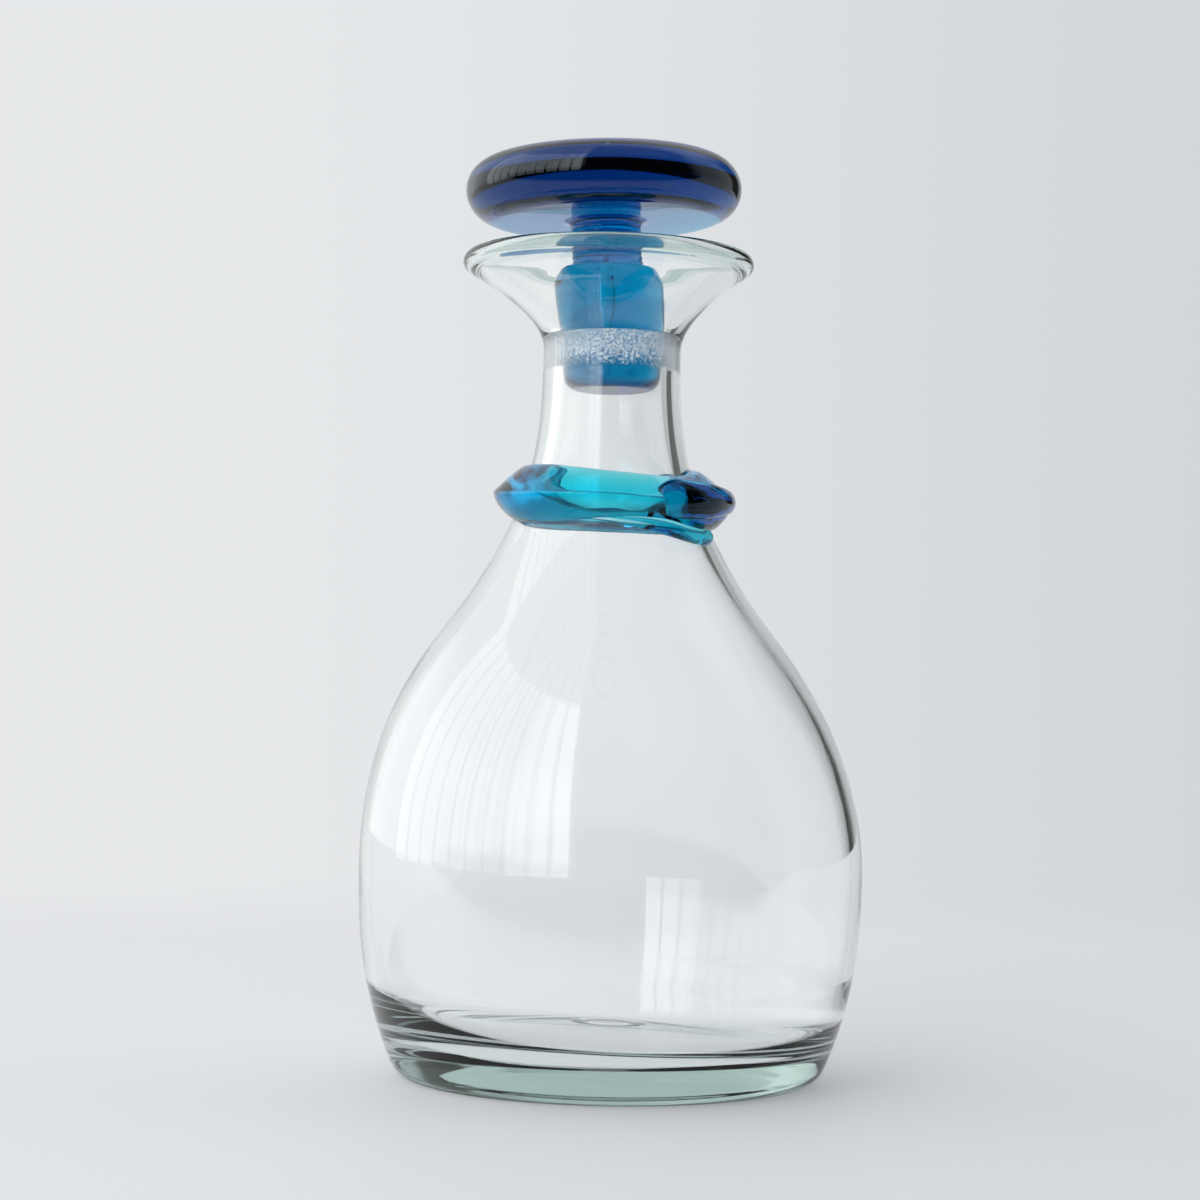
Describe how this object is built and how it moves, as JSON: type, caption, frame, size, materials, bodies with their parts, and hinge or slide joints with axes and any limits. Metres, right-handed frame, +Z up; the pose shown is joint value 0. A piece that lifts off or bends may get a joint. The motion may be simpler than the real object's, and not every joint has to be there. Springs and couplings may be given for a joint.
{
  "type": "stoppered glass decanter",
  "caption": "Hand-blown clear glass decanter with a flared lip, an aqua glass trail wound round its neck and a solid blue glass stopper that lifts out.",
  "frame": {"origin": "on the table under the middle of the foot and the belly", "axes": "+Z up along the bottle, +X to the right of the front view, -Y towards the viewer of the picture"},
  "size_m": [0.127, 0.127, 0.2339],
  "materials": {
    "clear_glass": "fire-polished clear soda-lime glass with a faint green cast, ground matt inside the neck where the stopper seats",
    "aqua_glass": "fire-polished transparent aqua glass",
    "cobalt_glass": "fire-polished transparent cobalt-blue glass, ground matt on the lower half of the plug"
  },
  "bodies": {
    "bottle": {"bottle": "clear_glass", "neck_collar": "aqua_glass"},
    "stopper": {"stopper": "cobalt_glass"}
  },
  "joints": [
    {"name": "stopper_lift", "type": "slide", "parent": "bottle", "child": "stopper", "axis": [0, 0, 1], "range_m": [0, 0.08]}
  ]
}
